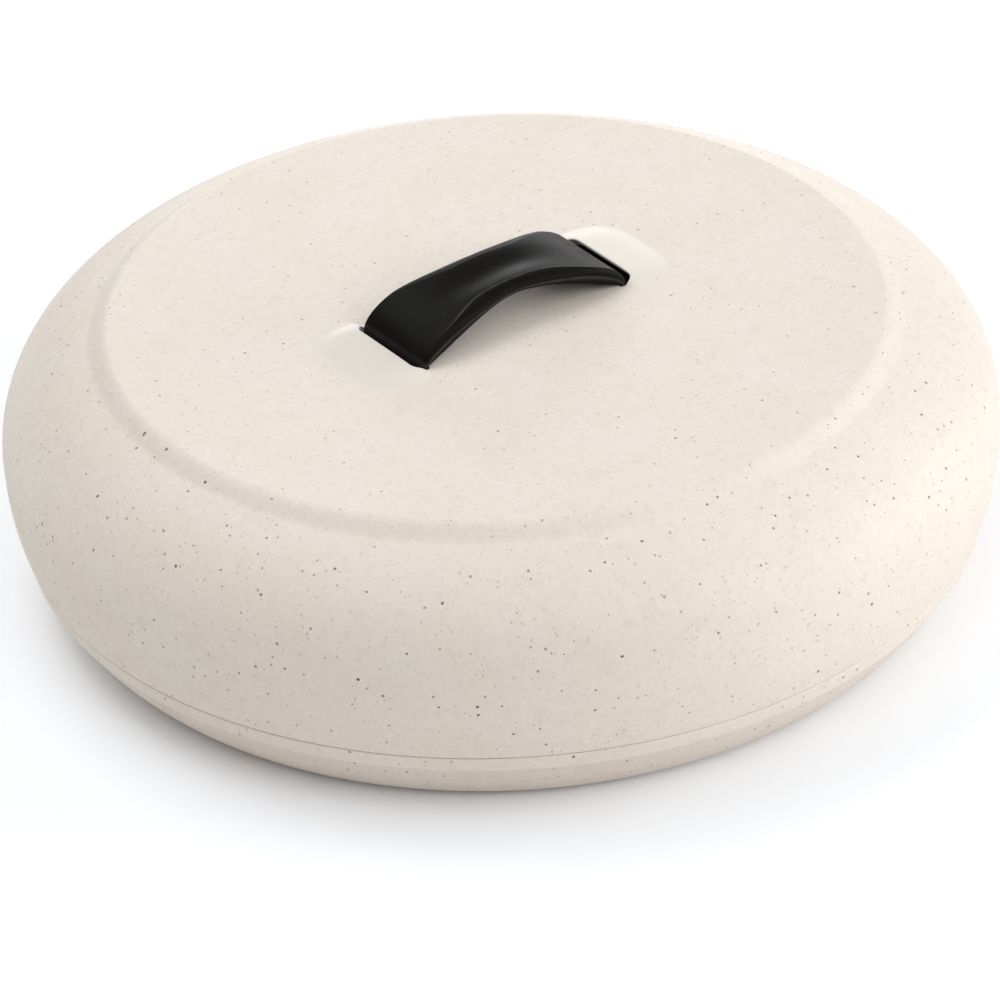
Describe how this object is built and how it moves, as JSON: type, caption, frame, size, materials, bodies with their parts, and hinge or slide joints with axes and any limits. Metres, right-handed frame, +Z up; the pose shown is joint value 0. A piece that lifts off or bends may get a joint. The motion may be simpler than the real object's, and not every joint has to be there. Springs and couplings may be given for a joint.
{
  "type": "tortilla warmer",
  "caption": "Low round insulated food keeper with a double-walled base, a lift-off domed lid with a raised disc, and a strap handle held in two hooded sockets.",
  "frame": {"origin": "centre of the underside, on the surface that the base stands on", "axes": "+Z up through the lid's centre, +X along the handle"},
  "size_m": [0.3, 0.3, 0.0972],
  "materials": {
    "speckled_shell": "fine satin grain with small grey and brown specks",
    "liner_plastic": "smooth",
    "insulation_foam": "fine closed cells",
    "black_strap": "satin black",
    "screw_steel": "zinc plated"
  },
  "bodies": {
    "base": {"base_outer_shell": "speckled_shell", "base_insulation": "insulation_foam", "base_inner_liner": "liner_plastic"},
    "lid": {"lid_outer_shell": "speckled_shell", "lid_insulation": "insulation_foam", "lid_inner_liner": "liner_plastic", "handle_strap": "black_strap", "handle_screws": "screw_steel"}
  },
  "joints": [
    {"name": "lid_lift", "type": "slide", "parent": "base", "child": "lid", "axis": [0, 0, 1], "range_m": [0, 0.2]}
  ]
}
